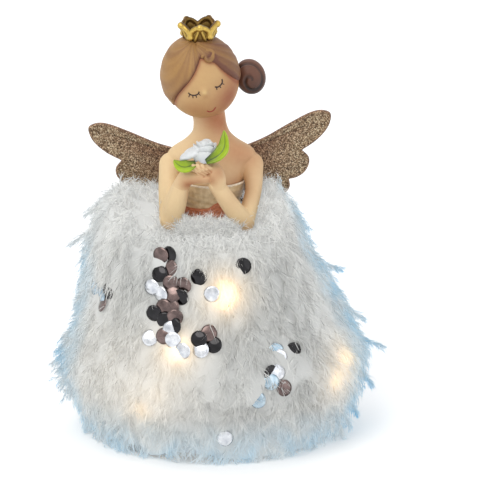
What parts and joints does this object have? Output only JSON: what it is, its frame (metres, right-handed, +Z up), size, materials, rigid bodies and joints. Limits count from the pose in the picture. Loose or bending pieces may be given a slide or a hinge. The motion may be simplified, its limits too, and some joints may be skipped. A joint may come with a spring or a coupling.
{
  "type": "lighted angel figurine",
  "caption": "Free-standing angel doll figurine: resin bust with crown, wings and rose on a bell-shaped feather and sequin skirt with warm lights and a battery base.",
  "frame": {"origin": "centre of the base on the plane that the figurine stands on", "axes": "+Z up, -Y the way the angel faces, +X the viewer's right when looking at the face"},
  "size_m": [0.1576, 0.1576, 0.2118],
  "materials": {
    "skin_paint": "painted resin, soft satin",
    "hair_paint": "painted resin, matte caramel brown",
    "bun_paint": "painted resin, matte darker brown",
    "gold_paint": "antique gold paint, dark in the recesses",
    "pearl_paint": "pearl beige paint",
    "sash_paint": "matte orange-brown paint",
    "rose_paint": "white satin paint",
    "leaf_paint": "lime green satin paint with dark green veins",
    "wing_glitter": "champagne and brown glitter grain",
    "feather": "white down feathers with pale blue tips at the sides and hem",
    "skirt_fabric": "silver-grey gathered fabric",
    "sequin": "mirror sequins, silver to dark brown",
    "led_lens": "warm white light",
    "copper_wire": "lacquered copper wire",
    "foam": "moulded foam bead, matte",
    "white_plastic": "moulded white plastic",
    "black_plastic": "moulded black plastic",
    "wood": "bare birch",
    "steel": "bright plated steel",
    "cell_wrap": "plain printed-film wrap, no print",
    "felt": "grey felt"
  },
  "bodies": {
    "root": {"foot_1": "felt", "foot_2": "felt", "foot_3": "felt", "foot_4": "felt", "base_board": "white_plastic", "battery_box": "white_plastic", "cell_1": "cell_wrap", "cell_2": "cell_wrap", "cell_3": "cell_wrap", "spring_1": "steel", "spring_2": "steel", "spring_3": "steel", "contact_single_left": "steel", "contact_bridge_left": "steel", "contact_bridge_right": "steel", "contact_single_right": "steel", "switch_body": "black_plastic", "skirt_form": "foam", "form_cap": "white_plastic", "bust_dowel": "wood", "led_string": "copper_wire", "led_01": "led_lens", "led_02": "led_lens", "led_03": "led_lens", "led_04": "led_lens", "led_05": "led_lens", "led_06": "led_lens", "led_07": "led_lens", "led_08": "led_lens", "led_09": "led_lens", "led_10": "led_lens", "sequin_skirt": "skirt_fabric", "feather_hem": "feather", "feather_middle": "feather", "feather_upper": "feather", "feather_collar": "feather", "torso": "skin_paint", "bodice": "pearl_paint", "sash": "sash_paint", "arm_left": "skin_paint", "arm_right": "skin_paint", "head": "skin_paint", "hair": "hair_paint", "hair_bun": "bun_paint", "crown": "gold_paint", "rose_bloom": "rose_paint", "leaf_left": "leaf_paint", "leaf_right": "leaf_paint", "wing_left": "wing_glitter", "wing_right": "wing_glitter"},
    "battery_cover": {"battery_cover": "white_plastic"},
    "cover_screw": {"cover_screw": "steel"},
    "switch_slider": {"switch_slider": "black_plastic"}
  },
  "joints": [
    {"name": "battery_cover_hinge", "type": "hinge", "parent": "root", "child": "battery_cover", "pos_m": [-0.03475, 0, 0.0042], "axis": [0, 1, 0], "range_deg": [0, 95]},
    {"name": "cover_screw_turn", "type": "hinge", "parent": "battery_cover", "child": "cover_screw", "pos_m": [0.02125, 0, 0.0042], "axis": [0, 0, 1], "continuous": true},
    {"name": "power_switch_slide", "type": "slide", "parent": "root", "child": "switch_slider", "axis": [0, 1, 0], "range_m": [0, 0.003]}
  ]
}
